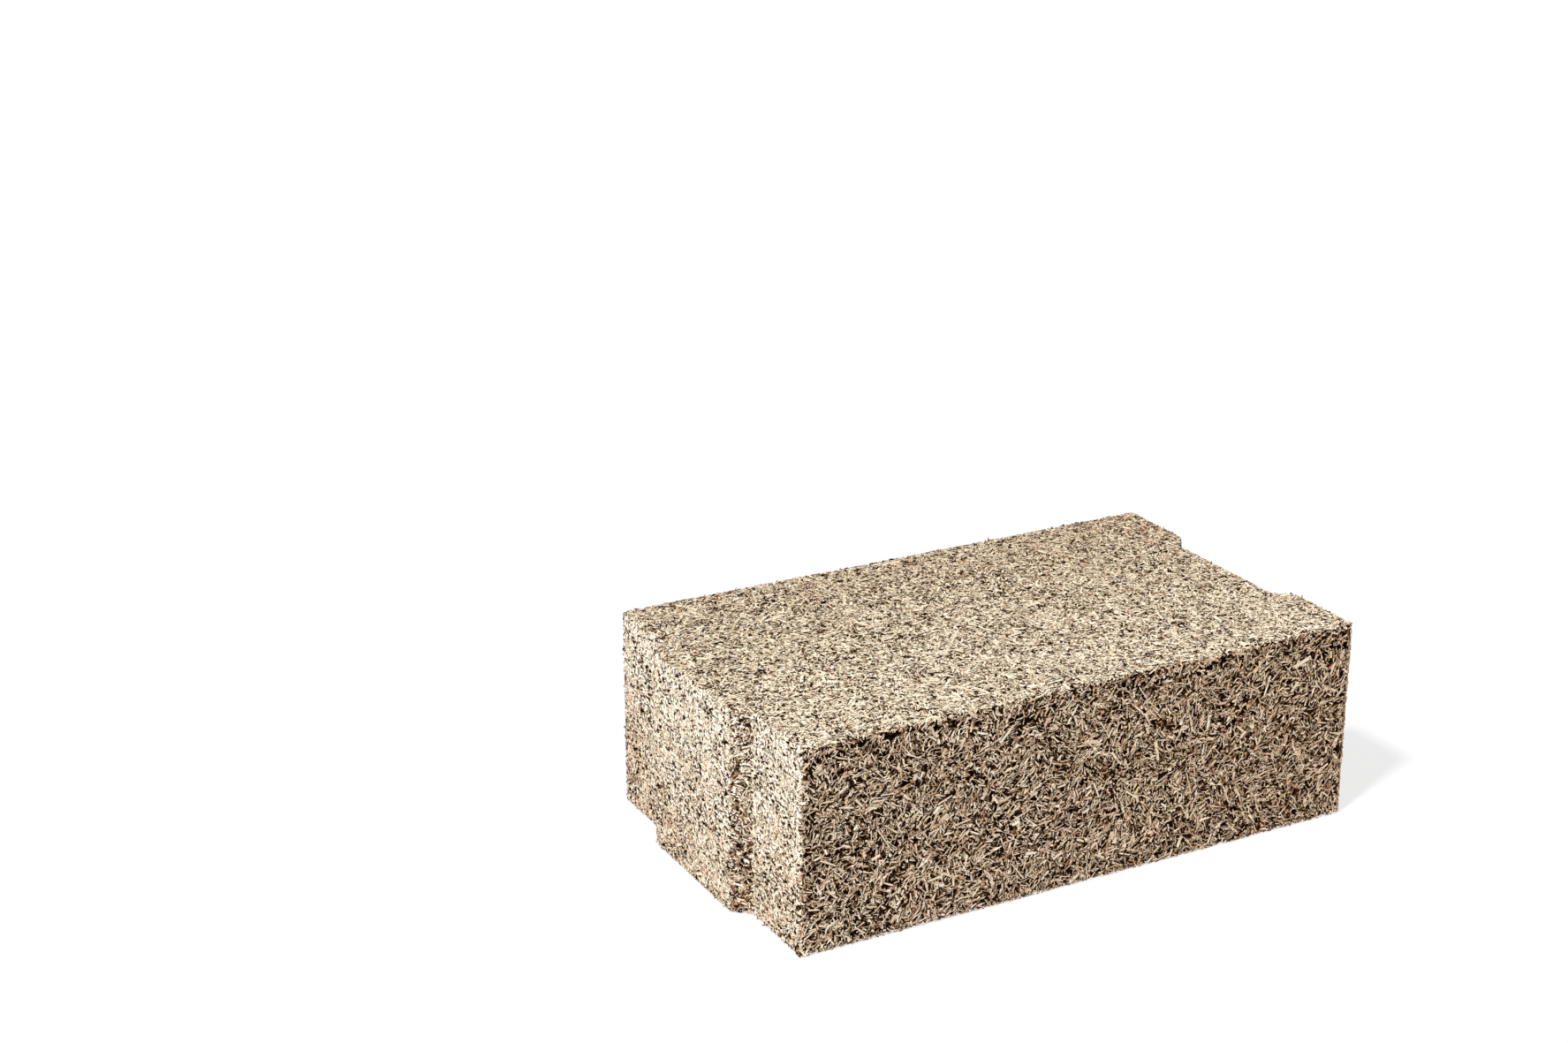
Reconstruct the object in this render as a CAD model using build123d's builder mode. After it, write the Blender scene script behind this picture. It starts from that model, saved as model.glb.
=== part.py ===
"""A hempcrete wall block: hemp shiv and lime pressed in a mould into one solid piece.

One end carries a tapered tongue over the full height, and the other end has the
matching groove, so that the blocks of a course lock into each other. The block lies
on its bed face, with its length along X, the wall's thickness along Y and the course
height along Z. The origin is the middle of the bed face, tongue and groove aside.
"""

import os

from build123d import *

# Driving dimensions, in millimetres and degrees
block_length = 600.0  # along the wall, from the tongue's shoulders to the groove's lips
block_width = 360.0  # the thickness of the wall
block_height = 200.0  # one course

tongue_base_width = 180.0  # across the tongue where it leaves the shoulders
tongue_height = 16.0  # how far the tongue stands out of the shoulders
flank_angle = 52.0  # between a flank of the tongue or groove and the block's end
joint_clearance = 2.0  # room that the groove leaves round a tongue, at its tip and at each side

corner_radius = 5.0  # the four upright corners of the block
tongue_radius = 5.0  # the tongue's tip and its root at the shoulders
groove_radius = 4.0  # the groove's lips and the corners of its floor
arris_radius = 3.0  # all round the top and bottom bed faces

# The groove takes the tongue of the next block.
groove_mouth_width = tongue_base_width + 2 * joint_clearance
groove_depth = tongue_height + joint_clearance

with BuildPart() as hempcrete_block:
    # The plan of the block, the same at every height.
    with BuildSketch(Plane.XY) as plan:
        Rectangle(block_length, block_width)
        with Locations((-block_length / 2, 0)):
            Trapezoid(
                tongue_base_width,
                tongue_height,
                flank_angle,
                rotation=90,
                align=(Align.CENTER, Align.MIN),
            )
        with Locations((block_length / 2, 0)):
            Trapezoid(
                groove_mouth_width,
                groove_depth,
                flank_angle,
                rotation=90,
                align=(Align.CENTER, Align.MIN),
                mode=Mode.SUBTRACT,
            )
    extrude(amount=block_height)

    # Upright edges, rounded as the mould leaves them.
    uprights = hempcrete_block.edges().filter_by(Axis.Z)
    rows_across = uprights.group_by(Axis.Y)
    block_corners = rows_across[0] + rows_across[-1]
    joint_edges = uprights - block_corners
    tongue_edges = joint_edges.filter_by(lambda edge: edge.center().X < 0)
    groove_edges = joint_edges - tongue_edges
    fillet(block_corners, radius=corner_radius)
    fillet(tongue_edges, radius=tongue_radius)
    fillet(groove_edges, radius=groove_radius)

    # The arrises of both bed faces.
    bed_faces = hempcrete_block.faces().filter_by(Plane.XY)
    fillet(bed_faces.edges(), radius=arris_radius)

hempcrete_block.part.label = "hempcrete_block"

os.makedirs("parts", exist_ok=True)
export_step(hempcrete_block.part, "parts/hempcrete_block.step")
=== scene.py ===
# %% [markdown]
# # A hempcrete block
# Hempcrete is shiv, the chopped woody core of the hemp stalk, bound with lime. It is tamped
# damp into a mould, and the block that comes out is one porous piece. Up close it has no smooth
# surface at all: what you see is thousands of chips bedded in finer crumbs and lime, with dark
# pores between them. So this lesson builds the block the way the real one is made: a bed of
# crumbs and lime, and pressed into it a skin of real chips, each a small mesh of its own.

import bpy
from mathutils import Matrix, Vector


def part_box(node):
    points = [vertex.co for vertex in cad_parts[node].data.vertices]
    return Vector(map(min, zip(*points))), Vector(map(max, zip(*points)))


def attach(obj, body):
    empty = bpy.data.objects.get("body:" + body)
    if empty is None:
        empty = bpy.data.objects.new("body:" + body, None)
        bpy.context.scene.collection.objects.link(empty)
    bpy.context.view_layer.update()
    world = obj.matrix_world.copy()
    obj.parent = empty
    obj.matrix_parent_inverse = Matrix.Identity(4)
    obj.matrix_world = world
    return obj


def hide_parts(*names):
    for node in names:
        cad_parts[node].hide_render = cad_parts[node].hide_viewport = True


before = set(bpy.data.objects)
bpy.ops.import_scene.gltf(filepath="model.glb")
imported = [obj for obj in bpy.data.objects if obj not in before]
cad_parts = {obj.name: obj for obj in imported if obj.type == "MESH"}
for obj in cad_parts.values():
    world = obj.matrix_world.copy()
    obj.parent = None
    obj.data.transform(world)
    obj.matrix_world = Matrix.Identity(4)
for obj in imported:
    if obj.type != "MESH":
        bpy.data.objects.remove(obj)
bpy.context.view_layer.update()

# %% [markdown]
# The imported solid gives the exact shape: the block, its tongue and its groove. Its triangles
# are read once into arrays. They serve as the surface on which the chips lie, and a BVH tree,
# a sorted box of triangles, answers quickly how far any point is from that surface.

# %% The solid's surface
import math

import bmesh
import bpy
import numpy as np
from mathutils import Vector, noise
from mathutils.bvhtree import BVHTree

MM = 0.001
random = np.random.default_rng(11)

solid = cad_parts["hempcrete_block"].data
solid.calc_loop_triangles()
solid_points = np.array([vertex.co for vertex in solid.vertices])
solid_corners = np.array([triangle.vertices for triangle in solid.loop_triangles])
triangles = solid_points[solid_corners]
crosses = np.cross(triangles[:, 1] - triangles[:, 0], triangles[:, 2] - triangles[:, 0])
areas = np.linalg.norm(crosses, axis=1) / 2
normals = crosses / np.maximum(2 * areas, 1e-12)[:, None]
centres = triangles.mean(axis=1)
surface = BVHTree.FromPolygons(solid_points.tolist(), solid_corners.tolist())
block_low, block_high = (np.array(corner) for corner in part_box("hempcrete_block"))
print("surface:", round(areas.sum(), 3), "square metres in", len(areas), "triangles")

# %% [markdown]
# The camera stands where the photographer stood: to the left of the block, a little over head
# height above a low table, with a long lens. The numbers come from fitting a pinhole camera to
# the block's corners, so the block lands in the frame where it lies in the photograph.

# %% Camera
photo_width_px = 1775
focal_length_px = 2926
sensor_mm = 36.0
camera_place = (-1.259, -1.924, 1.126)
camera_turn = math.radians(28.39)
camera_tilt = math.radians(19.89)

scene = bpy.context.scene
lens = bpy.data.cameras.new("camera")
lens.sensor_fit = "HORIZONTAL"
lens.sensor_width = sensor_mm
lens.lens = focal_length_px / photo_width_px * sensor_mm
camera = bpy.data.objects.new("camera", lens)
camera.location = camera_place
camera.rotation_euler = (math.pi / 2 - camera_tilt, 0, -camera_turn)
scene.collection.objects.link(camera)
scene.camera = camera
print("lens:", round(lens.lens, 2), "mm")

# %% [markdown]
# One soft key light comes from the left. It strikes the tongue end almost square, the top at a
# slant, and only grazes the long side, so that side is the darkest and its relief the strongest.
# An even white world fills in. A smooth surface that faces up would get about a quarter more
# light than shows its colour as it is written, and that makes up for the chips' own shadows.
# Rays that look straight at the world see plain white.

# %% Light
key_direction = Vector((-0.58, -0.25, 0.78)).normalized()
key_strength = 1.06
key_softness = math.radians(6)
fill_strength = 0.46

key = bpy.data.lights.new("key", "SUN")
key.energy = key_strength * math.pi
key.angle = key_softness
key_light = bpy.data.objects.new("key", key)
key_light.rotation_euler = key_direction.to_track_quat("Z", "Y").to_euler()
scene.collection.objects.link(key_light)


def link(tree, source, target):
    """Joins an output socket to an input socket."""
    tree.links.new(source, target)


def looked_at(tree):
    """A socket that is 1 for rays that look at a surface, straight, in a mirror or through glass."""
    path = tree.nodes.new("ShaderNodeLightPath")
    seen = path.outputs["Is Camera Ray"]
    for kind in ("Is Glossy Ray", "Is Transmission Ray"):
        either = tree.nodes.new("ShaderNodeMath")
        either.operation = "MAXIMUM"
        link(tree, seen, either.inputs[0])
        link(tree, path.outputs[kind], either.inputs[1])
        seen = either.outputs["Value"]
    return seen


world = bpy.data.worlds.new("studio")
world.use_nodes = True
scene.world = world
sky = world.node_tree
background = sky.nodes["Background"]
background.inputs["Color"].default_value = (1, 1, 1, 1)
strength = sky.nodes.new("ShaderNodeMapRange")
strength.inputs["To Min"].default_value = fill_strength
link(sky, looked_at(sky), strength.inputs["Value"])
link(sky, strength.outputs["Result"], background.inputs["Strength"])
scene.view_settings.view_transform = "Standard"
print("key light:", key_strength, "fill:", fill_strength)

# %% [markdown]
# The floor is plain and white. To the camera it is mostly paper white, with a part of its real
# shading mixed in, so that the block keeps a light shadow under it.

# %% Floor
floor_half = 12.0
floor_bounce = 0.78
floor_seen = 0.97
shadow_share = 0.3

floor_mesh = bpy.data.meshes.new("floor")
shape = bmesh.new()
bmesh.ops.create_grid(shape, x_segments=1, y_segments=1, size=floor_half)
shape.to_mesh(floor_mesh)
shape.free()
floor = bpy.data.objects.new("floor", floor_mesh)
scene.collection.objects.link(floor)
paper = bpy.data.materials.new("white_paper")
paper.use_nodes = True
tree = paper.node_tree
tree.nodes.remove(tree.nodes["Principled BSDF"])
matte = tree.nodes.new("ShaderNodeBsdfDiffuse")
matte.inputs["Color"].default_value = (floor_bounce, floor_bounce, floor_bounce, 1)
glow = tree.nodes.new("ShaderNodeEmission")
glow.inputs["Strength"].default_value = (floor_seen - shadow_share * floor_bounce) / (1 - shadow_share)
mix = tree.nodes.new("ShaderNodeMixShader")
share = tree.nodes.new("ShaderNodeMath")
share.operation = "MULTIPLY"
share.inputs[1].default_value = 1 - shadow_share
link(tree, looked_at(tree), share.inputs[0])
link(tree, share.outputs["Value"], mix.inputs["Fac"])
link(tree, matte.outputs["BSDF"], mix.inputs[1])
link(tree, glow.outputs["Emission"], mix.inputs[2])
link(tree, mix.outputs["Shader"], tree.nodes["Material Output"].inputs["Surface"])
floor_mesh.materials.append(paper)
print("floor:", 2 * floor_half, "m wide")

# %% [markdown]
# The block has eight skins: two bed faces, two long sides, two ends, and the flanks of the
# tongue and of the groove. Each triangle of the solid belongs to one of them, by the way it
# faces and by where it is.

# %% Sort the surface into skins
side_band = 10 * MM
flank_reach = 110 * MM
flank_lean = 0.4
facing = np.abs(normals).argmax(axis=1)
left = centres[:, 0] < 0
skin_of = np.where(left, "tongue_end", "groove_end").astype(object)
flank = (np.abs(normals[:, 1]) > flank_lean) & (np.abs(centres[:, 1]) < flank_reach)
skin_of[flank & left] = "tongue_flanks"
skin_of[flank & ~left] = "groove_flanks"
skin_of[(facing == 1) & (centres[:, 1] < block_low[1] + side_band)] = "front"
skin_of[(facing == 1) & (centres[:, 1] > block_high[1] - side_band)] = "back"
skin_of[(facing == 2) & (normals[:, 2] > 0)] = "top"
skin_of[(facing == 2) & (normals[:, 2] < 0)] = "bottom"
for skin in sorted(set(skin_of)):
    print(skin, round(areas[skin_of == skin].sum(), 4), "square metres")

# %% [markdown]
# A pressed edge crumbles. Each point near the arris of a bed face is moved in, onto a rounding
# whose radius wanders along the edge. The rounding is that of a box: the parts by which a point
# is nearer to the wall and to the bed than the radius are two legs of a triangle, and where its
# long side is more than the radius, the point sticks out of the rounding by the difference.

# %% Worn arrises
arris_radius = 1.2 * MM
arris_wander = 6 * MM
wander_per_metre = 26
wander_rare = 0.2
wall_lean = 0.5

walls = np.abs(normals[:, 2]) < wall_lean
wall_tree = BVHTree.FromPolygons(solid_points.tolist(), solid_corners[walls].tolist())
mid_height = (block_low[2] + block_high[2]) / 2


def worn(places, outward):
    """Moves places near the bed arrises onto the worn rounding, and turns their normals."""
    places, outward = places.copy(), outward.copy()
    for i, place in enumerate(places):
        wander = max(0.0, noise.noise(Vector(place) * wander_per_metre) - wander_rare)
        radius = arris_radius + arris_wander * wander
        to_bed = min(place[2] - block_low[2], block_high[2] - place[2])
        if to_bed > radius:
            continue
        _, wall_out, _, to_wall = wall_tree.find_nearest((place[0], place[1], mid_height))
        if to_wall > radius:
            continue
        bed_out = np.array([0, 0, 1.0 if place[2] > mid_height else -1.0])
        legs = np.array([radius - to_wall, radius - to_bed])
        span = np.linalg.norm(legs)
        if span > radius:
            inward = -(np.array(wall_out) * legs[0] + bed_out * legs[1]) / span
            places[i] = place + inward * (span - radius)
            outward[i] = -inward
    return places, outward


def points_on(skin, count):
    """Random places on one skin of the solid, with their normals."""
    chosen = np.flatnonzero(skin_of == skin)
    pick = random.choice(chosen, count, p=areas[chosen] / areas[chosen].sum())
    u, v = random.random((2, count, 1))
    flip = u + v > 1
    u, v = np.where(flip, 1 - u, u), np.where(flip, 1 - v, v)
    a, b, c = triangles[pick].transpose(1, 0, 2)
    return worn(a + u * (b - a) + v * (c - a), normals[pick])


# %% [markdown]
# Each skin has its own recipe. The long sides were cast against the mould's rough boards, so
# their chips lie loose and tilted. The beds were tamped and struck off flat, and the ends are
# closed with more lime. Lengths are in millimetres and angles in degrees.
#
# - `length` and `width` are a chip's usual size, and `cover` says how many layers the chips
#   would make if they were spread evenly. `long` and `fibre` are the shares of long chips and of
#   loose fibres, and `slit_shades` is the share of chips with painted shade of a slit along one edge.
# - Chips `tilt` out of the surface, `stray` from the direction of their drift, lie as `rough`
#   says under the surface or stand `proud` of it. The bed lies so far `below` and is uneven by
#   its `crumbs`.
# - The higher `brown` is, the browner the shiv. `lime` is the usual coat, and `lime_spread` is
#   how much chips differ. The slopes say how much paler and limier the skin gets across the
#   block along X, Y and Z.
# - `pore_apart` and `pore_rare` set the fine pores. Hollows, where the mix did not close up, have
#   the same two numbers, a depth, and a `hollow_rise` that makes them commoner higher up.

# %% Skin recipes
side_recipe = dict(
    length=6.0, width=1.95, cover=2.0, long=0.06, fibre=0.004, slit_shades=0.6,
    tilt=14, stray=45, rough=0.6, proud=0.6, below=2.1, crumbs=0.6,
    brown=0.88, pale_slope=(-0.2, 0, 0), lime=0.15, lime_spread=0.25, lime_slope=(0, 0, 0),
    pore_apart=5.4, pore_rare=0.63,
    hollow_apart=6, hollow_rare=0.53, hollow_rise=0.3, hollow_depth=4.0,
)
bed_recipe = dict(
    length=5.2, width=2.05, cover=2.6, long=0.03, fibre=0.002, slit_shades=0.42,
    tilt=10, stray=50, rough=0.45, proud=0.4, below=1.8, crumbs=0.5,
    brown=0.76, pale_slope=(-0.12, -0.4, 0), lime=1.0, lime_spread=0.3, lime_slope=(-0.2, -0.2, 0),
    pore_apart=4.6, pore_rare=0.583,
    hollow_apart=5, hollow_rare=0.53, hollow_rise=0, hollow_depth=2.0,
)
end_recipe = dict(
    length=4.9, width=1.95, cover=2.6, long=0.02, fibre=0.003, slit_shades=0.12,
    tilt=8, stray=50, rough=0.25, proud=0.25, below=1.0, crumbs=0.3,
    brown=0.7, pale_slope=(0, -0.08, 0.3), lime=1.0, lime_spread=0.25, lime_slope=(0, -0.3, 0.8),
    pore_apart=4.4, pore_rare=0.552,
    hollow_apart=5, hollow_rare=0.54, hollow_rise=0, hollow_depth=2.6,
)
flank_recipe = dict(
    end_recipe, slit_shades=0.5, tilt=14, rough=0.5, below=1.8, brown=1.0, lime=0.55, pore_rare=0.57,
    hollow_apart=6, hollow_rare=0.56,
)
recipes = {
    "front": side_recipe, "back": side_recipe,
    "top": bed_recipe, "bottom": dict(bed_recipe, length=7.5, width=2.8, cover=2.0, proud=0),
    "tongue_end": end_recipe, "groove_end": end_recipe,
    "tongue_flanks": flank_recipe, "groove_flanks": flank_recipe,
}
lime_apart = 45 * MM
lime_patches = 0.4
hollow_detail = 0.5
detail_finer = 2.3
hollow_swell = 0.35
swell_wider = 6
hollow_rim = 0.1
seed_steps = (17.3, 5.7, 11.9)


def smooth_step(value, low, high):
    """0 below low, 1 above high, and a soft slope between."""
    share = np.clip((value - low) / (high - low), 0, 1)
    return share * share * (3 - 2 * share)


def noise_at(places, apart, seed):
    """Smooth noise from about -1 to 1 at each place; its waves are about so far apart."""
    offset = Vector([seed * step for step in seed_steps])
    return np.array([noise.noise(Vector(place) / apart + offset) for place in places])


def across_block(places):
    """Where each place is across the block along X, Y and Z, from -0.5 to 0.5."""
    return (places - block_low) / (block_high - block_low) - 0.5


def hollows(places, skin):
    """How far the skin lies under the surface at each place, because the mix is open there."""
    recipe = recipes[skin]
    apart = recipe["hollow_apart"] * MM
    waves = noise_at(places, apart, seed=1)
    waves += hollow_detail * noise_at(places, apart / detail_finer, seed=2)
    waves += hollow_swell * noise_at(places, swell_wider * apart, seed=6)
    waves += recipe["hollow_rise"] * (places[:, 2] - mid_height) / (block_high[2] - block_low[2])
    rare = recipe["hollow_rare"]
    return recipe["hollow_depth"] * MM * smooth_step(waves, rare, rare + hollow_rim)


def lime_at(places, skin):
    """How much lime coats the skin at each place, from 0 to about 1."""
    recipe = recipes[skin]
    patches = 1 + lime_patches * noise_at(places, lime_apart, seed=4)
    return recipe["lime"] * patches + across_block(places) @ recipe["lime_slope"]


print("recipes:", ", ".join(recipes))

# %% [markdown]
# Colours are written as the eye sees them, in steps of 255, and turned into the linear light
# that the shader works with. Shiv runs from brown to pale, then come straw and pure white lime.

# %% Colours
def paint(red, green, blue):
    """A linear colour from screen values."""
    return (*[((c / 255 + 0.055) / 1.055) ** 2.4 for c in (red, green, blue)], 1.0)


side_lime = paint(240, 219, 193)
bed_lime = paint(245, 233, 210)
end_lime = paint(252, 244, 227)
crumb_lime = paint(249, 240, 219)
lime_dull = (0.59, 0.495, 0.375, 1)
shiv_tints = {
    0.00: paint(146, 111, 86),
    0.20: paint(190, 155, 126),
    0.42: paint(215, 187, 158),
    0.62: paint(230, 207, 181),
    0.78: paint(242, 223, 199),
    0.86: paint(249, 236, 215),
    0.90: paint(222, 188, 142),
    0.96: paint(238, 214, 172),
    1.00: paint(254, 253, 250),
}
# Painted shade: what lies deep is multiplied towards warm brown halfway and near black at full depth.
painted_shade_warm = (0.59, 0.45, 0.325, 1)
painted_shade_dark = (0.03, 0.015, 0.007, 1)
print("tints of shiv:", len(shiv_tints))

# %% [markdown]
# The finish is mixed from three numbers that a mesh carries: the tint of a chip, its coat of
# lime, and how deep each corner lies. The tint picks a colour of hemp wood. Lime lies on what is
# near the mould's face, in blotches and specks, and is duller on brown chips. A noise paints fine
# pores, wider than they are high, which count as deeper. What lies deeper gets painted shade,
# darker and warmer, because light gets there only off other chips. Chips and crumbs share all
# this, so it is a node group. Each finish sets its own colour of lime, and the depths in
# millimetres at which the painted shade starts and at which it is full.

# %% Shiv finish
specks_per_metre = 900
speck_swing = 0.35
patches_per_metre = 16
patch_swing = 0.15
crowds_per_metre = 35
crowd_swing = 0.035
pore_rim = 0.03
pore_bend = 0.6
pore_squeeze = (1, 1, 1.6)
pore_sink_mm = 3.0
lime_depth_mm = 3.0
bright_tint = 0.8
warm_share = 0.4
dull_roughness = 0.9


def set_input(tree, socket, value):
    """Links a socket to another, or sets it to a number."""
    if isinstance(value, bpy.types.NodeSocket):
        link(tree, value, socket)
    else:
        socket.default_value = value


def math_node(tree, operation, first, second):
    """A Math node; each input is a socket or a number."""
    node = tree.nodes.new("ShaderNodeMath")
    node.operation = operation
    set_input(tree, node.inputs[0], first)
    set_input(tree, node.inputs[1], second)
    return node.outputs["Value"]


def noise_node(tree, vector, scale, detail, distortion=0):
    """The value of a noise texture with so many waves per metre."""
    node = tree.nodes.new("ShaderNodeTexNoise")
    node.inputs["Detail"].default_value = detail
    node.inputs["Distortion"].default_value = distortion
    set_input(tree, node.inputs["Scale"], scale)
    link(tree, vector, node.inputs["Vector"])
    return node.outputs["Fac"]


def range_node(tree, value, low, high, to_low, to_high):
    """Maps a range of values onto another; low and high are sockets or numbers."""
    node = tree.nodes.new("ShaderNodeMapRange")
    link(tree, value, node.inputs["Value"])
    for name, number in (("From Min", low), ("From Max", high), ("To Min", to_low), ("To Max", to_high)):
        set_input(tree, node.inputs[name], number)
    return node.outputs["Result"]


def swing_node(tree, vector, scale, detail, spread, swing):
    """A noise that swings both ways, fully where it is the spread away from its middle."""
    waves = noise_node(tree, vector, scale, detail)
    return range_node(tree, waves, 0.5 - spread, 0.5 + spread, -swing, swing)


def shiv_group():
    """The colour of limed shiv, with painted shade where it lies deep."""
    group = bpy.data.node_groups.new("Limed shiv and painted shade", "ShaderNodeTree")
    group.interface.new_socket("Vector", in_out="INPUT", socket_type="NodeSocketVector")
    group.interface.new_socket("Lime color", in_out="INPUT", socket_type="NodeSocketColor")
    for name in ("Tint", "Lime", "Depth", "Pore scale", "Pore level", "Shade start", "Full shade depth"):
        group.interface.new_socket(name, in_out="INPUT", socket_type="NodeSocketFloat")
    group.interface.new_socket("Color", in_out="OUTPUT", socket_type="NodeSocketColor")
    take = group.nodes.new("NodeGroupInput").outputs
    give = group.nodes.new("NodeGroupOutput")
    wood = group.nodes.new("ShaderNodeValToRGB")
    stops = wood.color_ramp.elements
    stops.remove(stops[1])
    stops[0].color = shiv_tints[0.0]
    for position, colour in list(shiv_tints.items())[1:]:
        stops.new(position).color = colour
    link(group, take["Tint"], wood.inputs["Fac"])
    specks = swing_node(group, take["Vector"], specks_per_metre, 2, spread=0.2, swing=speck_swing)
    patches = swing_node(group, take["Vector"], patches_per_metre, 3, spread=0.15, swing=patch_swing)
    coat = math_node(group, "ADD", math_node(group, "ADD", take["Lime"], specks), patches)
    # Painted pores: where a squeezed noise passes the pore level, the place counts up to pore_sink_mm
    # deeper, so the painted shade darkens it.
    squeezed = group.nodes.new("ShaderNodeVectorMath")
    squeezed.operation = "MULTIPLY"
    squeezed.inputs[1].default_value = pore_squeeze
    link(group, take["Vector"], squeezed.inputs[0])
    pore_place = squeezed.outputs["Vector"]
    crowds = swing_node(group, take["Vector"], crowds_per_metre, 1, spread=0.2, swing=crowd_swing)
    waves = noise_node(group, pore_place, take["Pore scale"], 2, pore_bend)
    level = math_node(group, "ADD", waves, crowds)
    rim = math_node(group, "ADD", take["Pore level"], pore_rim)
    pore = range_node(group, level, take["Pore level"], rim, 0, pore_sink_mm)
    depth = math_node(group, "ADD", take["Depth"], pore)
    washed = math_node(group, "DIVIDE", depth, lime_depth_mm)
    limed = group.nodes.new("ShaderNodeMix")
    limed.data_type = "RGBA"
    shade = group.nodes.new("ShaderNodeMix")
    shade.data_type = "RGBA"
    shade.inputs["A"].default_value = lime_dull
    shade.inputs["B"].default_value = (1, 1, 1, 1)
    link(group, range_node(group, take["Tint"], 0, bright_tint, 0, 1), shade.inputs["Factor"])
    dull = group.nodes.new("ShaderNodeVectorMath")
    dull.operation = "MULTIPLY"
    link(group, take["Lime color"], dull.inputs[0])
    link(group, shade.outputs["Result"], dull.inputs[1])
    link(group, dull.outputs["Vector"], limed.inputs["B"])
    link(group, math_node(group, "SUBTRACT", coat, washed), limed.inputs["Factor"])
    link(group, wood.outputs["Color"], limed.inputs["A"])
    # Painted shade: past the start depth the colour is multiplied towards warm brown and then near
    # black.
    dark = group.nodes.new("ShaderNodeValToRGB")
    dark.color_ramp.elements[0].color = (1, 1, 1, 1)
    dark.color_ramp.elements[1].color = painted_shade_dark
    dark.color_ramp.elements.new(warm_share).color = painted_shade_warm
    sunk = range_node(group, depth, take["Shade start"], take["Full shade depth"], 0, 1)
    link(group, sunk, dark.inputs["Fac"])
    pores = group.nodes.new("ShaderNodeMix")
    pores.data_type = "RGBA"
    pores.blend_type = "MULTIPLY"
    pores.inputs["Factor"].default_value = 1
    link(group, limed.outputs["Result"], pores.inputs["A"])
    link(group, dark.outputs["Color"], pores.inputs["B"])
    link(group, pores.outputs["Result"], give.inputs["Color"])
    return group


limed_shiv_and_shade = shiv_group()


def attribute_node(tree, name):
    """The value that a mesh carries under this name."""
    node = tree.nodes.new("ShaderNodeAttribute")
    node.attribute_name = name
    return node.outputs["Fac"]


def shiv_material(name, lime_colour, shade_start, full_shade_depth):
    """A dull material coloured by the group: the material, its group node and its coordinates."""
    material = bpy.data.materials.new(name)
    material.use_nodes = True
    tree = material.node_tree
    shader = tree.nodes["Principled BSDF"]
    shader.inputs["Roughness"].default_value = dull_roughness
    shader.inputs["Specular IOR Level"].default_value = 0
    mixed = tree.nodes.new("ShaderNodeGroup")
    mixed.node_tree = limed_shiv_and_shade
    mixed.inputs["Lime color"].default_value = lime_colour
    mixed.inputs["Shade start"].default_value = shade_start
    mixed.inputs["Full shade depth"].default_value = full_shade_depth
    place = tree.nodes.new("ShaderNodeTexCoord").outputs["Object"]
    link(tree, place, mixed.inputs["Vector"])
    link(tree, attribute_node(tree, "lime"), mixed.inputs["Lime"])
    link(tree, mixed.outputs["Color"], shader.inputs["Base Color"])
    return material, mixed, place


def chip_material(name, skin, lime_colour, shade_start, full_shade_depth):
    """The finish of the chips of one kind of skin."""
    material, mixed, _ = shiv_material(name, lime_colour, shade_start, full_shade_depth)
    mixed.inputs["Pore scale"].default_value = 1 / (recipes[skin]["pore_apart"] * MM)
    mixed.inputs["Pore level"].default_value = recipes[skin]["pore_rare"]
    tree = material.node_tree
    link(tree, attribute_node(tree, "tint"), mixed.inputs["Tint"])
    link(tree, attribute_node(tree, "depth_mm"), mixed.inputs["Depth"])
    return material


# Each finish's painted shade starts at the first depth and is full at the second, in millimetres.
side_finish = chip_material("shiv_sides", "front", side_lime, shade_start=0.3, full_shade_depth=1.75)
bed_finish = chip_material("shiv_beds", "top", bed_lime, shade_start=0.65, full_shade_depth=2.35)
end_finish = chip_material("shiv_ends", "tongue_end", end_lime, shade_start=0.45, full_shade_depth=2.0)
flank_finish = chip_material("shiv_flanks", "tongue_flanks", end_lime, shade_start=0.4, full_shade_depth=2.0)
finish_of = {
    "front": side_finish, "back": side_finish, "top": bed_finish, "bottom": bed_finish,
    "tongue_end": end_finish, "groove_end": bed_finish,
    "tongue_flanks": flank_finish, "groove_flanks": flank_finish,
}
print("finishes:", len(set(finish_of.values())))

# %% [markdown]
# Between the chips lies the bed: crumbs of shiv a couple of millimetres across, with lime in the
# joints. Crumbs that small are drawn by the finish. A Voronoi texture splits the surface into
# cells, one to a crumb, and the distance to a cell's edge says where the joints are. They count
# as deeper, so the painted shade makes them dark, but less so where lime fills them.

# %% Crumb finish
crumbs_per_metre = 430
crumb_stretch = (0.6, 0.9, 1.1)
bend_per_metre = 160
bend_reach = 5 * MM
joint_share = 0.22
joint_depth_mm = 1.8
joint_fill = 0.85
cell_range = (0.2, 0.8)
crumb_tints = (0.05, 0.8)

# The crumbs' painted shade starts at 0.8 mm and is full at 2.4 mm.
crumb_finish, mixed, place = shiv_material("crumbs_and_lime", crumb_lime, shade_start=0.8, full_shade_depth=2.4)
tree = crumb_finish.node_tree
link(tree, attribute_node(tree, "pore_scale"), mixed.inputs["Pore scale"])
link(tree, attribute_node(tree, "pore_level"), mixed.inputs["Pore level"])
bend = tree.nodes.new("ShaderNodeTexNoise")
bend.inputs["Scale"].default_value = bend_per_metre
link(tree, place, bend.inputs["Vector"])
bent = tree.nodes.new("ShaderNodeVectorMath")
bent.operation = "MULTIPLY_ADD"
bent.inputs[1].default_value = (bend_reach, bend_reach, bend_reach)
link(tree, bend.outputs["Color"], bent.inputs[0])
link(tree, place, bent.inputs[2])
stretch = tree.nodes.new("ShaderNodeVectorMath")
stretch.operation = "MULTIPLY"
stretch.inputs[1].default_value = crumb_stretch
link(tree, bent.outputs["Vector"], stretch.inputs[0])
cells = {}
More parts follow.
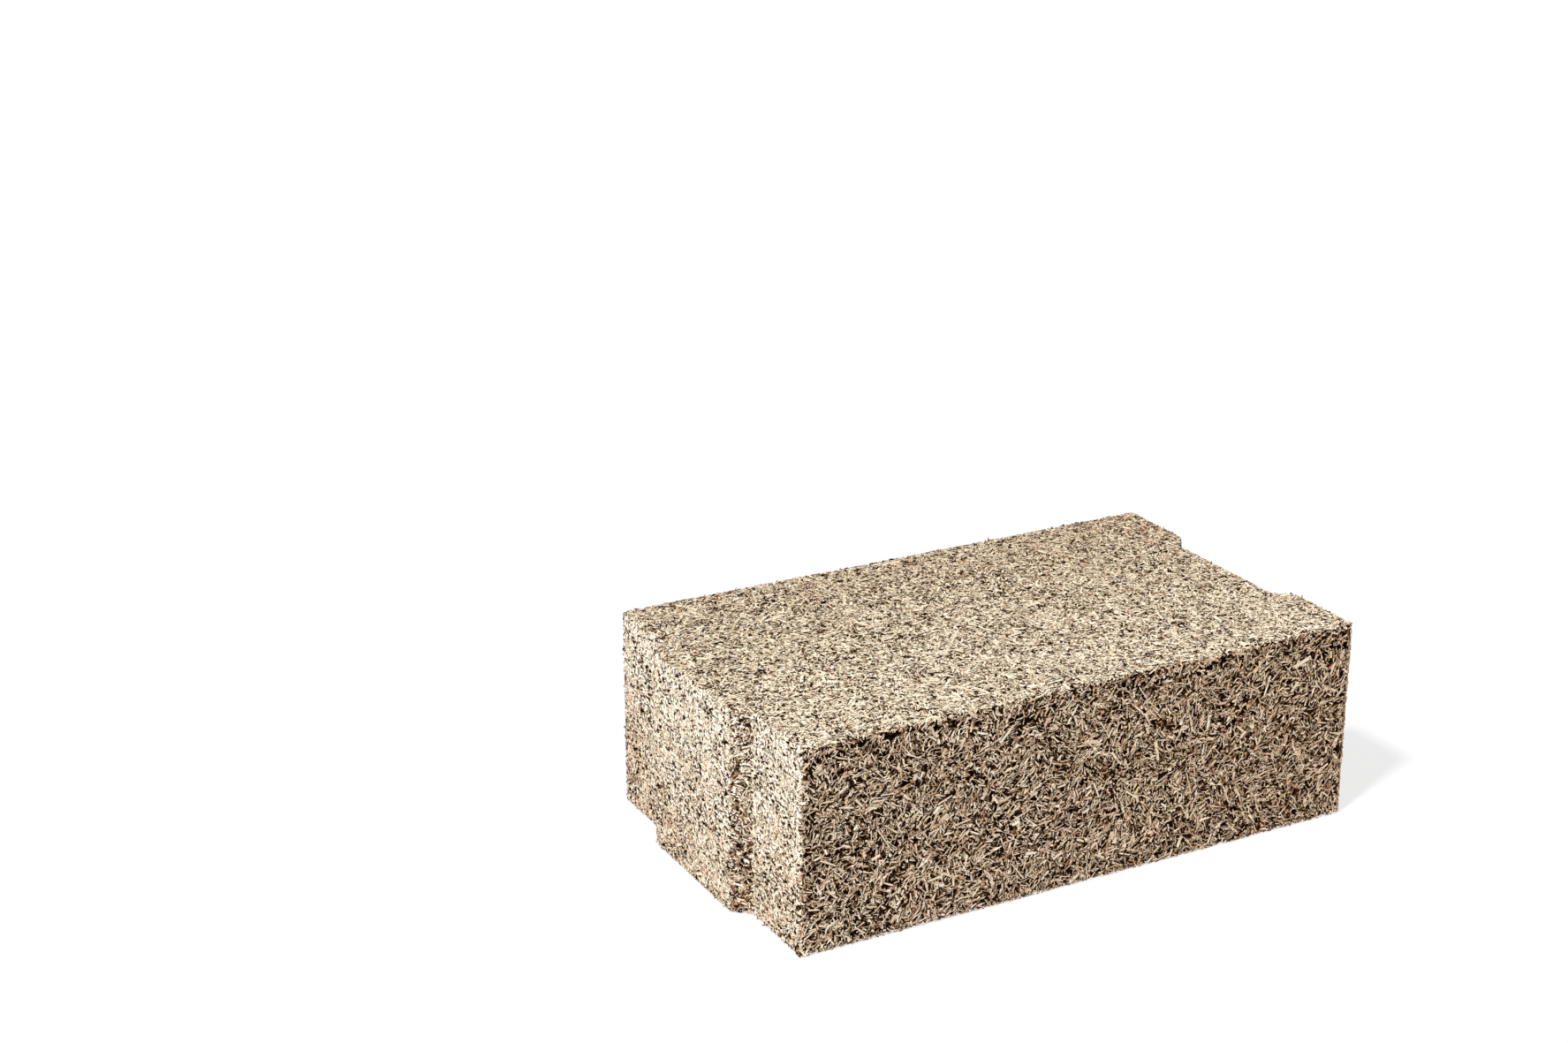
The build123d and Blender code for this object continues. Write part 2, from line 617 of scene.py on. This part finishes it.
for feature in ("F1", "DISTANCE_TO_EDGE"):
    cells[feature] = tree.nodes.new("ShaderNodeTexVoronoi")
    cells[feature].feature = feature
    cells[feature].inputs["Scale"].default_value = crumbs_per_metre
    link(tree, stretch.outputs["Vector"], cells[feature].inputs["Vector"])
crumb_tint = range_node(tree, cells["F1"].outputs["Color"], *cell_range, *crumb_tints)
link(tree, crumb_tint, mixed.inputs["Tint"])
# The joints count deeper, and the shared group paints that depth as shade.
edge = range_node(tree, cells["DISTANCE_TO_EDGE"].outputs["Distance"], 0, joint_share, joint_depth_mm, 0)
open_share = range_node(tree, attribute_node(tree, "lime"), 0, 1, 1, 1 - joint_fill)
joint = math_node(tree, "MULTIPLY", edge, open_share)
link(tree, math_node(tree, "ADD", joint, attribute_node(tree, "depth_mm")), mixed.inputs["Depth"])
print("crumbs:", round(1 / crumbs_per_metre / MM, 1), "mm")

# %% [markdown]
# The bed itself is one closed mesh. A voxel remesh of the solid gives an even net of points, and
# the skins that are looked at most are divided once more. The net cuts across corners, so each
# point is first laid onto the solid's surface. Then it is sunk below it, a little by chance and
# deeper in hollows, and it carries its depth, its lime and its skin's pores for the finish.

# %% Crumb bed
bed_voxel = 5 * MM
weld_reach = 0.01 * MM
fine_skins = ("front", "top", "tongue_end", "tongue_flanks")


def new_piece(name, mesh, material):
    """A piece of the block: an object at the origin that rides with the block."""
    piece = bpy.data.objects.new(name, mesh)
    mesh.materials.append(material)
    scene.collection.objects.link(piece)
    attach(piece, "root")
    return piece


def skins_near(places):
    """The skin that each place is nearest to."""
    return skin_of[[surface.find_nearest(place)[2] for place in places]]


def even_net():
    """The solid as an even net of square faces, finer on the skins that are looked at most."""
    shape = bmesh.new()
    shape.from_mesh(solid)
    bmesh.ops.remove_doubles(shape, verts=shape.verts, dist=weld_reach)
    plain = bpy.data.meshes.new("plain_bed")
    shape.to_mesh(plain)
    shape.free()
    carrier = bpy.data.objects.new("carrier", plain)
    scene.collection.objects.link(carrier)
    remesh = carrier.modifiers.new("even_net", "REMESH")
    remesh.mode = "VOXEL"
    remesh.voxel_size = bed_voxel
    mesh = bpy.data.meshes.new_from_object(carrier.evaluated_get(bpy.context.evaluated_depsgraph_get()))
    bpy.data.objects.remove(carrier)
    bpy.data.meshes.remove(plain)
    shape = bmesh.new()
    shape.from_mesh(mesh)
    near = skins_near([face.calc_center_median() for face in shape.faces])
    for face, skin in zip(shape.faces, near):
        face.tag = skin in fine_skins
    edges = [edge for edge in shape.edges if any(face.tag for face in edge.link_faces)]
    bmesh.ops.subdivide_edges(shape, edges=edges, cuts=1, use_grid_fill=True)
    shape.normal_update()
    shape.to_mesh(mesh)
    shape.free()
    mesh.name = "crumb_bed"
    return mesh


def sink_bed(mesh):
    """Sinks the net's points below the surface, and keeps their depth, lime and pores."""
    places = np.array([surface.find_nearest(vertex.co)[0] for vertex in mesh.vertices])
    outward = np.array([vertex.normal for vertex in mesh.vertices])
    near = skins_near(places)
    places, outward = worn(places, outward)
    sink, lime, pore_scale, pore_level = np.zeros((4, len(places)))
    for skin, recipe in recipes.items():
        mine = near == skin
        chance = random.standard_normal(mine.sum())
        sink[mine] = (recipe["below"] + recipe["crumbs"] * chance) * MM + hollows(places[mine], skin)
        lime[mine] = lime_at(places[mine], skin)
        pore_scale[mine] = 1 / (recipe["pore_apart"] * MM)
        pore_level[mine] = recipe["pore_rare"]
    sink = np.maximum(sink, 0)
    mesh.vertices.foreach_set("co", (places - outward * sink[:, None]).ravel())
    for kept, values in (
        ("depth_mm", sink / MM), ("lime", lime), ("pore_scale", pore_scale), ("pore_level", pore_level),
    ):
        mesh.attributes.new(kept, "FLOAT", "POINT").data.foreach_set("value", values)
    mesh.update()


def triangles_in(mesh):
    """How many triangles the faces of a mesh make."""
    return sum(len(face.vertices) - 2 for face in mesh.polygons)


bed_mesh = even_net()
sink_bed(bed_mesh)
crumb_bed = new_piece("crumb_bed", bed_mesh, crumb_finish)
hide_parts("hempcrete_block")
triangle_count = triangles_in(bed_mesh)
print("crumb bed:", triangle_count, "triangles")

# %% [markdown]
# A chip of shiv is a splinter of wood, a few times longer than wide. Three shapes are modelled
# once, each in a box of size one: a plate whose underside runs down to a point, a sliver that
# narrows to a point, and a shard with a ridge along it. They have only four to six faces,
# because the block needs well over a hundred thousand of them. Each face also has a place on a
# small map: the upper faces lie in its upper part, the sides and the underside below.

# %% Chip shapes
plate = ((-0.5, -0.5, 0.5), (-0.5, 0.5, 0.5), (0.5, -0.5, 0.5), (0.5, 0.5, 0.5), (0, 0, -0.5))
sliver = ((-0.5, -0.5, 0.5), (-0.5, 0.5, 0.5), (-0.5, 0, -0.5), (0.5, 0, 0.17))
shard = ((-0.5, 0, 0.5), (0.5, 0, 0.5), (0, -0.5, -0.5), (0, 0.5, -0.5))
facing_flat = 0.8
facing_end = 0.7
map_reach = 0.8
map_top = (0.66, 0.28)
map_under = (0.06, 0.08)
map_sides = (0.06, 0.52)


def template(corners):
    """The arrays of one chip shape: points, corners by face, and each corner's place on the map."""
    shape = bmesh.new()
    for corner in corners:
        shape.verts.new(corner)
    bmesh.ops.convex_hull(shape, input=shape.verts)
    shape.verts.index_update()
    points = np.array([vertex.co for vertex in shape.verts])
    faces = [[vertex.index for vertex in face.verts] for face in shape.faces]
    shape.normal_update()
    spots = []
    for face in shape.faces:
        up, along = face.normal.z, abs(face.normal.x)
        for vertex in face.verts:
            x, y, z = vertex.co
            sideways = y if along > facing_end else x
            if abs(up) > facing_flat:
                start, breadth = map_top if up > 0 else map_under
                upwards = y
            else:
                start, breadth = map_sides
                upwards = z
            spots.append((0.5 + map_reach * sideways, start + breadth * (upwards + 0.5)))
    shape.free()
    return points, faces, np.array(spots)


chip_shapes = [template(corners) for corners in (plate, sliver, shard)]
chip_shares = (0.5, 0.27, 0.23)
print("chip shapes:", [len(faces) for _, faces, _ in chip_shapes], "faces")

# %% [markdown]
# Now the chips of a skin are laid, one matter after another. The first is their size. Lengths
# and widths scatter around the recipe's, and chips are longer where the mix lies loose. A few
# are long, a very few are thin loose fibres, and here and there is a crumb of pure lime.

# %% Sizes of the chips
length_spread = 0.42
tight_length = 0.85
loose_length = 0.3
width_spread = 0.28
widest_share = 0.6
long_stretch = 1.7
long_widening = 1.4
fibre_stretch = 3.0
fibre_narrowing = 0.35
longest = 24 * MM
pure_share = 0.0003
pure_length = 4 * MM
pure_width_share = 0.7
height_share = 0.4
height_scatter = (0.7, 1.3)
highest = 1.6 * MM


def chip_sizes(recipe, loose):
    """Lengths, widths and heights, and which chips are long ones, fibres or pure lime."""
    count = len(loose)
    scatter = random.lognormal(0, length_spread, count)
    length = recipe["length"] * MM * scatter * (tight_length + loose_length * loose)
    width = recipe["width"] * MM * random.lognormal(0, width_spread, count)
    width = np.minimum(width, widest_share * length)
    luck = random.random(count)
    fibre = luck < recipe["fibre"]
    long = ~fibre & (luck < recipe["fibre"] + recipe["long"])
    pure = luck > 1 - pure_share
    length = length * np.select([long, fibre], [long_stretch, fibre_stretch], 1)
    length = np.minimum(length, np.where(pure, pure_length, longest))
    width = width * np.select([long, fibre], [long_widening, fibre_narrowing], 1)
    width = np.where(pure, pure_width_share * length, width)
    height = np.minimum(height_share * width * random.uniform(*height_scatter, count), highest)
    return length, width, height, long, fibre, pure


print("longest chip:", round(longest / MM), "mm")

# %% [markdown]
# The second is the way they lie. A chip's frame is worked out from the normal at its place.
# Chips lie in drifts: a slowly changing noise gives the direction, each chip strays from it, and
# then it is tipped a little. An end that would stick out past the block's outline is shortened.

# %% Directions of the chips
drift_per_metre = 14
upright_lean = 0.7
overhang = 1.0 * MM
shortest_half = 0.25


def unit(vectors):
    """The vectors, each with length one."""
    return vectors / np.linalg.norm(vectors, axis=1)[:, None]


def lay_axes(places, outward, stray, tilt):
    """The three axes of each chip: along, across and up."""
    count = len(places)
    upright = np.abs(outward[:, 2:]) < upright_lean
    level = unit(np.cross(np.where(upright, (0, 0, 1.0), (0, 1.0, 0)), outward))
    rise = np.cross(outward, level)
    drift = np.array([noise.noise(Vector(place) * drift_per_metre) for place in places])
    angle = (2 * math.pi * drift + math.radians(stray) * random.standard_normal(count))[:, None]
    along = level * np.cos(angle) + rise * np.sin(angle)
    across = np.cross(outward, along)
    pitch, roll = np.radians(tilt)[:, None] * random.standard_normal((2, count, 1))
    up = outward * np.cos(pitch) - along * np.sin(pitch)
    along = along * np.cos(pitch) + outward * np.sin(pitch)
    across, up = across * np.cos(roll) + up * np.sin(roll), up * np.cos(roll) - across * np.sin(roll)
    return along, across, up


def free_length(places, along, half):
    """Shortens the half of a chip that would stick out past the block's outline."""
    limit = overhang * random.exponential(1.0, len(places))
    for i, end in enumerate(places + along * half[:, None]):
        hit, out, _, distance = surface.find_nearest(end)
        if (Vector(end) - hit).dot(out) > 0 and distance > limit[i]:
            half[i] *= max(shortest_half, limit[i] / distance)
    return half


print("drifts:", round(1 / drift_per_metre / MM), "mm apart")

# %% [markdown]
# The third is how deep they lie and how they are coloured. A chip is sunk until its highest
# corner is as deep as the recipe says, and further in hollows. Long chips lie nearly flush, and
# fibres and lime crumbs on top. Most chips take a tint between brown and pale, and a few are straw.

# %% Depths and colours of the chips
tight_rough = 0.6
loose_rough = 0.8
long_settling = 0.3
long_lift = 0.3 * MM
fibre_lift = (0.4, 1.2)
pure_lift = 0.3 * MM
palest = 0.86
tint_lean = 1.7
long_tint = 0.3
long_contrast = 0.65
straw_share = 0.02
straw_tints = (0.9, 0.96)


def chip_sinks(skin, recipe, places, loose, long, fibre, pure):
    """How far the highest corner of each chip lies under the surface."""
    count = len(places)
    rough = np.abs(random.normal(0, recipe["rough"], count)) * (tight_rough + loose_rough * loose)
    sink = (rough - recipe["proud"] * random.random(count)) * MM
    sink = np.where(long, long_settling * sink - long_lift, sink) + hollows(places, skin)
    sink = np.where(fibre, -random.uniform(*fibre_lift, count) * MM, sink)
    return np.where(pure, -pure_lift, sink)


def chip_colours(skin, recipe, places, long, fibre, pure):
    """The tint of each chip and its coat of lime."""
    count = len(places)
    paler = across_block(places) @ recipe["pale_slope"]
    tint = np.clip(palest * random.beta(tint_lean, recipe["brown"], count) + paler, 0, palest)
    tint = np.where(long | fibre, long_tint + long_contrast * tint, tint)
    straw = random.random(count) < straw_share
    tint = np.where(straw, random.uniform(*straw_tints, count), tint)
    lime = random.normal(lime_at(places, skin), recipe["lime_spread"])
    return np.where(pure, 1, tint), np.where(pure, -1, lime)


print("straw:", straw_share, "of the chips")

# %% [markdown]
# With that a whole skin can be laid. Some chips also get a slit: painted shade along one edge,
# standing for a gap where crumbs fell out. It is not cut: it is a difference in depth between the
# chip's two long edges, in millimetres, that only the finish sees and paints as shade.

# %% Lay the chips of a skin
loose_apart = 120 * MM
flat_tilt = 0.4
# How much deeper one long edge of a slit chip counts than the other; the finish paints it as shade.
slit_shade_depths = (4, 10)


def lay_chips(skin, recipe):
    """Places, axes, half lengths, widths, heights, sinks, painted slit shades and colours of a skin's
    chips.
    """
    mean_area = recipe["length"] * recipe["width"] * MM * MM
    count = int(recipe["cover"] * areas[skin_of == skin].sum() / mean_area)
    places, outward = points_on(skin, count)
    loose = 0.5 + 0.5 * noise_at(places, loose_apart, seed=5)
    length, width, height, *kinds = chip_sizes(recipe, loose)
    long, fibre, _ = kinds
    tilt = np.where(long | fibre, flat_tilt, 1) * recipe["tilt"]
    along, across, up = lay_axes(places, outward, recipe["stray"], tilt)
    ahead = free_length(places, along, length / 2)
    behind = free_length(places, -along, length / 2)
    sink = chip_sinks(skin, recipe, places, loose, *kinds)
    tint, lime = chip_colours(skin, recipe, places, *kinds)
    # Painted shade: a slit is only a depth that the finish darkens, not a cut in the chip.
    has_slit_shade = random.random(count) < recipe["slit_shades"]
    slit_shade = np.where(has_slit_shade, random.uniform(*slit_shade_depths, count), 0) * MM
    return dict(
        places=places, outward=outward, along=along, across=across, up=up, tint=tint, lime=lime,
        ahead=ahead, behind=behind, width=width, height=height, sink=sink, slit_shade=slit_shade,
    )


print("slits:", slit_shade_depths, "mm from edge to edge")

# %% [markdown]
# The chips of a skin become one mesh. Every corner of every chip is worked out at once with
# arrays, and three numbers go with it for the finish: how deep it lies, the chip's own tint and
# its coat of lime. A painted slit makes one long edge deeper and the other less deep, so its
# painted shade ends about halfway across the chip. Each chip has its own cell on the texture map,
# and no corner goes below the floor that the block lies on.

# %% Join the chips
narrowest_end = 0.55
most_skew = 0.25


def chip_points(shape_points, chips):
    """All corners of the chips that have this shape, by chip and corner, and their depths."""
    x, y, z = shape_points.T
    count = len(chips["places"])
    reach = np.where(x < 0, chips["behind"][:, None], chips["ahead"][:, None]) * 2 * x
    ends = random.uniform(narrowest_end, 1.0, (2, count, 1))
    taper = np.where(x < 0, ends[0], ends[1])
    skew = random.uniform(-most_skew, most_skew, (count, 1)) * np.where(x < 0, 1, -1)
    spread = chips["width"][:, None] * (y * taper + skew / 2)
    lift = chips["height"][:, None] * z
    points = (
        chips["along"][:, None] * reach[:, :, None]
        + chips["across"][:, None] * spread[:, :, None]
        + chips["up"][:, None] * lift[:, :, None]
    )
    rise = np.einsum("nvk,nk->nv", points, chips["outward"])
    shift = -rise.max(axis=1) - chips["sink"]
    # A slit's painted shade: one long edge counts deeper and the other less deep.
    depth = -chips["slit_shade"][:, None] * y - rise - shift[:, None]
    return chips["places"][:, None] + points + (chips["outward"] * shift[:, None])[:, None], depth


def build_mesh(name, points, corners, totals, spots, carried):
    """A mesh of flat faces from arrays, with its texture map and the numbers for the finish."""
    mesh = bpy.data.meshes.new(name)
    mesh.vertices.add(len(points))
    mesh.vertices.foreach_set("co", points.ravel())
    mesh.loops.add(len(corners))
    mesh.loops.foreach_set("vertex_index", corners)
    mesh.polygons.add(len(totals))
    mesh.polygons.foreach_set("loop_start", np.cumsum(totals) - totals)
    mesh.uv_layers.new(name="OFBake").uv.foreach_set("vector", spots.ravel())
    for kept, values in carried.items():
        mesh.attributes.new(kept, "FLOAT", "POINT").data.foreach_set("value", values)
    mesh.update()
    mesh.validate()
    mesh.shade_flat()
    return mesh


def join_chips(name, chips):
    """One mesh of all the chips of a skin."""
    count = len(chips["places"])
    kind = random.choice(len(chip_shapes), count, p=chip_shares)
    cells = math.ceil(math.sqrt(count))
    cell = np.stack([np.arange(count) % cells, np.arange(count) // cells], axis=1)
    points, totals, corners, spots, depths, tints, coats = ([] for _ in range(7))
    base = 0
    for number, (shape_points, faces, face_spots) in enumerate(chip_shapes):
        mine = np.flatnonzero(kind == number)
        placed, depth = chip_points(shape_points, {key: value[mine] for key, value in chips.items()})
        first = base + np.arange(len(mine))[:, None] * len(shape_points)
        corners.append((first + np.concatenate(faces)).ravel())
        totals.append(np.tile([len(face) for face in faces], len(mine)))
        spots.append(((cell[mine][:, None] + face_spots) / cells).reshape(-1, 2))
        points.append(placed.reshape(-1, 3))
        depths.append(depth.ravel() / MM)
        tints.append(np.repeat(chips["tint"][mine], len(shape_points)))
        coats.append(np.repeat(chips["lime"][mine], len(shape_points)))
        base += placed.shape[0] * placed.shape[1]
    points, corners, totals, spots = (np.concatenate(part) for part in (points, corners, totals, spots))
    points[:, 2] = np.maximum(points[:, 2], block_low[2])
    lists = {"depth_mm": depths, "tint": tints, "lime": coats}
    carried = {kept: np.concatenate(values) for kept, values in lists.items()}
    return build_mesh(name, points, corners, totals, spots, carried)


# %% [markdown]
# Now each skin gets its chips. A skin with very many is split into several pieces, each with a
# share of the chips from all over the skin, so that no one mesh grows too heavy.

# %% Dress the skins
most_chips = 30000
for skin, recipe in recipes.items():
    chips = lay_chips(skin, recipe)
    parts = math.ceil(len(chips["places"]) / most_chips)
    for part in range(parts):
        mine = {key: value[part::parts] for key, value in chips.items()}
        name = skin + "_shiv" + ("_" + str(part + 1) if parts > 1 else "")
        mesh = join_chips(name, mine)
        new_piece(name, mesh, finish_of[skin])
        triangle_count += triangles_in(mesh)
        print(name, triangles_in(mesh), "triangles,", len(mine["places"]), "chips")
print("all:", triangle_count, "triangles")
